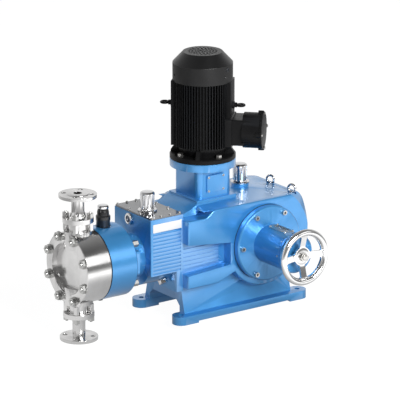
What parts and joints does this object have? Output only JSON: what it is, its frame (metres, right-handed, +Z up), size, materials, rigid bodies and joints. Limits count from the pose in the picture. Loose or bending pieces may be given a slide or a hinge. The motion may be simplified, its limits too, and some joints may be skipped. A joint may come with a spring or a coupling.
{
  "type": "diaphragm metering pump",
  "caption": "Motor-driven hydraulic diaphragm metering pump: cast gearbox on feet, upright finned motor, stroke handwheel, ribbed oil chamber, round pump head with flanged check valves.",
  "frame": {"origin": "centre of the four foundation holes, on the underside of the foot pads", "axes": "+Z up along the motor axis, +X from the pump head to the drive end along the plunger axis; the handwheel points to -Y"},
  "size_m": [0.8209, 0.474, 0.82],
  "materials": {
    "blue_paint": "semi-gloss enamel on cast iron",
    "black_paint": "satin black enamel",
    "stainless": "turned and polished stainless steel",
    "bright_plated": "bright plated",
    "zinc_steel": "zinc plated",
    "machined_steel": "machined, oiled",
    "cast_iron": "as cast, machined guides",
    "bronze": "hobbed bronze",
    "grey_cover": "satin grey sheet",
    "ptfe": "dark faced sheet",
    "fan_plastic": "moulded"
  },
  "bodies": {
    "casing": {"adapter_cover_plate": "blue_paint", "adapter_cover_screws": "zinc_steel", "adjuster_end_cap": "blue_paint", "adjuster_housing": "blue_paint", "adjuster_screws": "zinc_steel", "casing_breather": "bright_plated", "casing_lifting_eyes": "bright_plated", "diaphragm": "ptfe", "disc_bolts": "bright_plated", "disc_plug": "black_paint", "discharge_bolts": "stainless", "discharge_connection": "stainless", "discharge_seat": "stainless", "discharge_valve_body": "stainless", "drain_plug": "bright_plated", "fan_cowl": "black_paint", "gearbox_housing": "blue_paint", "head_bolts": "stainless", "hydraulic_chamber": "blue_paint", "intermediate_disc": "blue_paint", "motor_adapter": "blue_paint", "motor_end_shield": "black_paint", "motor_flange_bolts": "zinc_steel", "motor_frame": "black_paint", "motor_lifting_eyes": "black_paint", "plunger_sleeve": "machined_steel", "pump_head": "stainless", "rear_bearing_cover": "blue_paint", "rear_cover_screws": "zinc_steel", "relief_valve": "black_paint", "relief_valve_cap": "bright_plated", "reservoir_breather": "bright_plated", "reservoir_cover": "grey_cover", "reservoir_cover_screws": "zinc_steel", "scale_window": "zinc_steel", "shaft_bearings": "machined_steel", "sight_glass": "bright_plated", "stator": "machined_steel", "suction_bolts": "stainless", "suction_connection": "stainless", "suction_seat": "stainless", "suction_valve_body": "stainless", "support_plate": "stainless", "terminal_box": "black_paint", "terminal_cover": "black_paint", "terminal_cover_screws": "zinc_steel"},
    "motor_rotor": {"rotor_shaft": "machined_steel", "fan": "fan_plastic", "coupling": "machined_steel", "worm_shaft": "machined_steel"},
    "crank_train": {"worm_wheel": "bronze", "eccentric_shaft": "machined_steel"},
    "crosshead": {"crosshead_yoke": "cast_iron", "plunger": "machined_steel"},
    "adjusting_wheel": {"handwheel": "bright_plated", "handwheel_nut": "zinc_steel", "adjusting_spindle": "machined_steel"},
    "pointer": {"scale_pointer": "zinc_steel"},
    "discharge_check": {"discharge_ball": "stainless"},
    "suction_check": {"suction_ball": "stainless"}
  },
  "joints": [
    {"name": "motor_spin", "type": "hinge", "parent": "casing", "child": "motor_rotor", "pos_m": [-0.063, 0, 0.62], "axis": [0, 0, 1], "continuous": true},
    {"name": "wheel_spin", "type": "hinge", "parent": "casing", "child": "crank_train", "pos_m": [0.081, 0, 0.208], "axis": [0, -1, 0], "continuous": true},
    {"name": "plunger_stroke", "type": "slide", "parent": "casing", "child": "crosshead", "axis": [-1, 0, 0], "range_m": [-0.0125, 0.0125]},
    {"name": "handwheel_turn", "type": "hinge", "parent": "casing", "child": "adjusting_wheel", "pos_m": [0.081, -0.321, 0.208], "axis": [0, -1, 0], "range_deg": [-900, 900]},
    {"name": "pointer_travel", "type": "slide", "parent": "casing", "child": "pointer", "axis": [0, -1, 0], "range_m": [-0.0126, 0.0126]},
    {"name": "discharge_ball_lift", "type": "slide", "parent": "casing", "child": "discharge_check", "axis": [0, 0, 1], "range_m": [0, 0.008]},
    {"name": "suction_ball_lift", "type": "slide", "parent": "casing", "child": "suction_check", "axis": [0, 0, 1], "range_m": [0, 0.008]}
  ],
  "couplings": [
    {"joint": "wheel_spin", "follows": "motor_spin", "ratio": 0.066667},
    {"joint": "pointer_travel", "follows": "handwheel_turn", "m_per_rad": 0.00079577}
  ]
}
